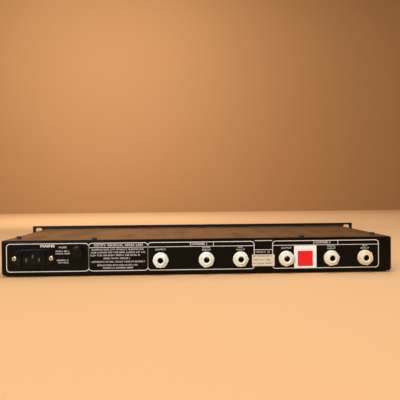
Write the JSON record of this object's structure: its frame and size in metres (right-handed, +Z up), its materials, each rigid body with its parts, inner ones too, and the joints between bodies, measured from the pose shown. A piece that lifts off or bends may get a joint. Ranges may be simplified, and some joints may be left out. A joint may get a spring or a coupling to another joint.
{
  "type": "rack effects unit",
  "caption": "One-unit rack effects processor with turning knobs, toggle switches, rocker mains switch, rear jack sockets, mains inlet and a pull-out fuse.",
  "frame": {"origin": "under the middle of the unit, on the surface it stands on", "axes": "+X to the right seen from the rear, +Y from the rear panel to the front panel, +Z up"},
  "size_m": [0.4826, 0.225, 0.0437],
  "materials": {
    "board_laminate": "green solder resist",
    "capacitor_sleeve": "dark blue sleeve",
    "chip_plastic": "matt black",
    "clamp_steel": "zinc plated",
    "control_board_laminate": "green solder resist",
    "cover_paint": "semi-gloss black",
    "foot_rubber": "matt",
    "fuse_cap_plastic": "gloss black",
    "fuse_glass": "clear tube with metal ends",
    "fuse_holder_plastic": "gloss black",
    "fuse_nut_plastic": "matt black",
    "heat_sink_metal": "natural",
    "inlet_pin_metal": "nickel plated",
    "inlet_plastic": "gloss black",
    "inlet_screw_metal": "bright nickel",
    "jack_nut_nylon": "natural nylon",
    "jack_nylon_input_jack_1": "natural nylon",
    "jack_nylon_input_jack_2": "natural nylon",
    "jack_nylon_key_jack_1": "natural nylon",
    "jack_nylon_key_jack_2": "natural nylon",
    "jack_nylon_output_jack_1": "natural nylon",
    "jack_nylon_output_jack_2": "natural nylon",
    "jack_washer_nylon": "natural nylon",
    "knob_plastic": "satin black with a white pointer",
    "lamp_amber": "tinted lens",
    "lamp_green": "tinted lens",
    "lamp_red": "tinted lens",
    "panel_finish": "black anodised",
    "panel_screw_metal": "blackened",
    "potentiometer_plastic": "matt",
    "rocker_body_plastic": "gloss black",
    "rocker_plastic": "gloss black",
    "screw_black": "blackened",
    "serial_label_paper": "silvery cream",
    "standoff_metal": "nickel plated",
    "sticker_paper": "white with a red block",
    "switch_bush_metal": "nickel plated",
    "toggle_chrome": "bright",
    "toggle_nut_metal": "nickel plated",
    "transformer_tape": "amber polyester tape over copper and steel",
    "tray_paint": "satin black powder coat"
  },
  "bodies": {
    "chassis": {"board_standoffs": "standoff_metal", "chassis_tray": "tray_paint", "control_board": "control_board_laminate", "cover_screws": "screw_black", "front_panel": "panel_finish", "front_panel_screws": "panel_screw_metal", "fuse_holder_body": "fuse_holder_plastic", "fuse_holder_nut": "fuse_nut_plastic", "input_jack_1": "jack_nylon_input_jack_1", "input_jack_2": "jack_nylon_input_jack_2", "integrated_circuits": "chip_plastic", "inventory_sticker": "sticker_paper", "jack_nuts": "jack_nut_nylon", "jack_washers": "jack_washer_nylon", "key_jack_1": "jack_nylon_key_jack_1", "key_jack_2": "jack_nylon_key_jack_2", "main_circuit_board": "board_laminate", "mains_inlet_body": "inlet_plastic", "mains_inlet_pins": "inlet_pin_metal", "mains_inlet_screws": "inlet_screw_metal", "output_jack_1": "jack_nylon_output_jack_1", "output_jack_2": "jack_nylon_output_jack_2", "potentiometer_bodies": "potentiometer_plastic", "power_switch_body": "rocker_body_plastic", "regulators_and_heat_sink": "heat_sink_metal", "rubber_feet": "foot_rubber", "serial_label": "serial_label_paper", "smoothing_capacitors": "capacitor_sleeve", "status_lamps_amber": "lamp_amber", "status_lamps_green": "lamp_green", "status_lamps_red": "lamp_red", "toggle_switch_bodies": "switch_bush_metal", "toggle_switch_nuts": "toggle_nut_metal", "top_cover": "cover_paint", "transformer_clamp": "clamp_steel", "transformer_winding": "transformer_tape"},
    "low_filter_knob_1": {"low_filter_knob_1": "knob_plastic"},
    "high_filter_knob_1": {"high_filter_knob_1": "knob_plastic"},
    "threshold_knob_1": {"threshold_knob_1": "knob_plastic"},
    "attack_knob_1": {"attack_knob_1": "knob_plastic"},
    "hold_knob_1": {"hold_knob_1": "knob_plastic"},
    "decay_knob_1": {"decay_knob_1": "knob_plastic"},
    "range_knob_1": {"range_knob_1": "knob_plastic"},
    "key_switch_1": {"key_switch_1": "toggle_chrome"},
    "mode_switch_1": {"mode_switch_1": "toggle_chrome"},
    "duck_switch_1": {"duck_switch_1": "toggle_chrome"},
    "low_filter_knob_2": {"low_filter_knob_2": "knob_plastic"},
    "high_filter_knob_2": {"high_filter_knob_2": "knob_plastic"},
    "threshold_knob_2": {"threshold_knob_2": "knob_plastic"},
    "attack_knob_2": {"attack_knob_2": "knob_plastic"},
    "hold_knob_2": {"hold_knob_2": "knob_plastic"},
    "decay_knob_2": {"decay_knob_2": "knob_plastic"},
    "range_knob_2": {"range_knob_2": "knob_plastic"},
    "key_switch_2": {"key_switch_2": "toggle_chrome"},
    "mode_switch_2": {"mode_switch_2": "toggle_chrome"},
    "duck_switch_2": {"duck_switch_2": "toggle_chrome"},
    "stereo_link_switch": {"stereo_link_switch": "toggle_chrome"},
    "power_switch_rocker": {"power_switch_rocker": "rocker_plastic"},
    "fuse_link": {"fuse_link": "fuse_glass"},
    "fuse_cap": {"fuse_cap": "fuse_cap_plastic"}
  },
  "joints": [
    {"name": "low_filter_knob_1_turn", "type": "hinge", "parent": "chassis", "child": "low_filter_knob_1", "pos_m": [0.203, 0.097, 0.02], "axis": [0, -1, 0], "range_deg": [-150, 150]},
    {"name": "high_filter_knob_1_turn", "type": "hinge", "parent": "chassis", "child": "high_filter_knob_1", "pos_m": [0.182, 0.097, 0.02], "axis": [0, -1, 0], "range_deg": [-150, 150]},
    {"name": "threshold_knob_1_turn", "type": "hinge", "parent": "chassis", "child": "threshold_knob_1", "pos_m": [0.152, 0.097, 0.02], "axis": [0, -1, 0], "range_deg": [-150, 150]},
    {"name": "attack_knob_1_turn", "type": "hinge", "parent": "chassis", "child": "attack_knob_1", "pos_m": [0.124, 0.097, 0.02], "axis": [0, -1, 0], "range_deg": [-150, 150]},
    {"name": "hold_knob_1_turn", "type": "hinge", "parent": "chassis", "child": "hold_knob_1", "pos_m": [0.103, 0.097, 0.02], "axis": [0, -1, 0], "range_deg": [-150, 150]},
    {"name": "decay_knob_1_turn", "type": "hinge", "parent": "chassis", "child": "decay_knob_1", "pos_m": [0.082, 0.097, 0.02], "axis": [0, -1, 0], "range_deg": [-150, 150]},
    {"name": "range_knob_1_turn", "type": "hinge", "parent": "chassis", "child": "range_knob_1", "pos_m": [0.061, 0.097, 0.02], "axis": [0, -1, 0], "range_deg": [-150, 150]},
    {"name": "key_switch_1_flip", "type": "hinge", "parent": "chassis", "child": "key_switch_1", "pos_m": [0.167, 0.0994, 0.02], "axis": [1, 0, 0], "range_deg": [0, 22]},
    {"name": "mode_switch_1_flip", "type": "hinge", "parent": "chassis", "child": "mode_switch_1", "pos_m": [0.046, 0.0994, 0.02], "axis": [1, 0, 0], "range_deg": [-11, 11]},
    {"name": "duck_switch_1_flip", "type": "hinge", "parent": "chassis", "child": "duck_switch_1", "pos_m": [0.034, 0.0994, 0.02], "axis": [1, 0, 0], "range_deg": [0, 22]},
    {"name": "low_filter_knob_2_turn", "type": "hinge", "parent": "chassis", "child": "low_filter_knob_2", "pos_m": [-0.004, 0.097, 0.02], "axis": [0, -1, 0], "range_deg": [-150, 150]},
    {"name": "high_filter_knob_2_turn", "type": "hinge", "parent": "chassis", "child": "high_filter_knob_2", "pos_m": [-0.025, 0.097, 0.02], "axis": [0, -1, 0], "range_deg": [-150, 150]},
    {"name": "threshold_knob_2_turn", "type": "hinge", "parent": "chassis", "child": "threshold_knob_2", "pos_m": [-0.055, 0.097, 0.02], "axis": [0, -1, 0], "range_deg": [-150, 150]},
    {"name": "attack_knob_2_turn", "type": "hinge", "parent": "chassis", "child": "attack_knob_2", "pos_m": [-0.083, 0.097, 0.02], "axis": [0, -1, 0], "range_deg": [-150, 150]},
    {"name": "hold_knob_2_turn", "type": "hinge", "parent": "chassis", "child": "hold_knob_2", "pos_m": [-0.104, 0.097, 0.02], "axis": [0, -1, 0], "range_deg": [-150, 150]},
    {"name": "decay_knob_2_turn", "type": "hinge", "parent": "chassis", "child": "decay_knob_2", "pos_m": [-0.125, 0.097, 0.02], "axis": [0, -1, 0], "range_deg": [-150, 150]},
    {"name": "range_knob_2_turn", "type": "hinge", "parent": "chassis", "child": "range_knob_2", "pos_m": [-0.146, 0.097, 0.02], "axis": [0, -1, 0], "range_deg": [-150, 150]},
    {"name": "key_switch_2_flip", "type": "hinge", "parent": "chassis", "child": "key_switch_2", "pos_m": [-0.04, 0.0994, 0.02], "axis": [1, 0, 0], "range_deg": [0, 22]},
    {"name": "mode_switch_2_flip", "type": "hinge", "parent": "chassis", "child": "mode_switch_2", "pos_m": [-0.161, 0.0994, 0.02], "axis": [1, 0, 0], "range_deg": [-11, 11]},
    {"name": "duck_switch_2_flip", "type": "hinge", "parent": "chassis", "child": "duck_switch_2", "pos_m": [-0.173, 0.0994, 0.02], "axis": [1, 0, 0], "range_deg": [0, 22]},
    {"name": "stereo_link_switch_flip", "type": "hinge", "parent": "chassis", "child": "stereo_link_switch", "pos_m": [0.014, 0.0994, 0.02], "axis": [1, 0, 0], "range_deg": [0, 22]},
    {"name": "power_switch_rock", "type": "hinge", "parent": "chassis", "child": "power_switch_rocker", "pos_m": [-0.2005, 0.098, 0.02185], "axis": [1, 0, 0], "range_deg": [0, 18]},
    {"name": "fuse_carrier_slide", "type": "slide", "parent": "chassis", "child": "fuse_link", "axis": [0, -1, 0], "range_m": [0, 0.024]},
    {"name": "fuse_cap_turn", "type": "hinge", "parent": "fuse_link", "child": "fuse_cap", "pos_m": [-0.1339, -0.106, 0.027], "axis": [0, -1, 0], "range_deg": [0, 90]}
  ]
}
